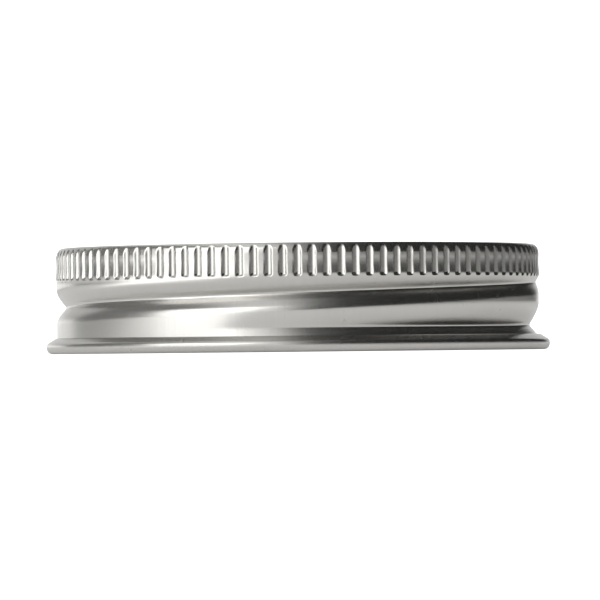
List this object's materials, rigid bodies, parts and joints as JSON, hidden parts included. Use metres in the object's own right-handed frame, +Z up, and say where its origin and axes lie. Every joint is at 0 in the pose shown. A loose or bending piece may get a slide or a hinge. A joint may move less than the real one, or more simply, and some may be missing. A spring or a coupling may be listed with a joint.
{
  "type": "continuous thread cap",
  "caption": "Thin sheet-metal screw cap with a knurled grip band, a sunken top panel, a rolled thread pressed into the skirt, a curled edge and a sealing ring inside.",
  "frame": {"origin": "on the cap's axis, at the level of the foot of the curled edge that the cap stands on", "axes": "+Z up along the cap's axis from the open mouth to the closed top, -Y towards the side seen in the picture, +X to that view's right"},
  "size_m": [0.0738, 0.0738, 0.0154],
  "materials": {
    "cap_shell": "bright tinplate with fine upright brushing, satin to semi-gloss",
    "sealing_gasket": "off-white plastisol compound, smooth and slightly soft"
  },
  "bodies": {
    "root": {"cap_shell": "cap_shell", "sealing_gasket": "sealing_gasket"}
  },
  "joints": []
}
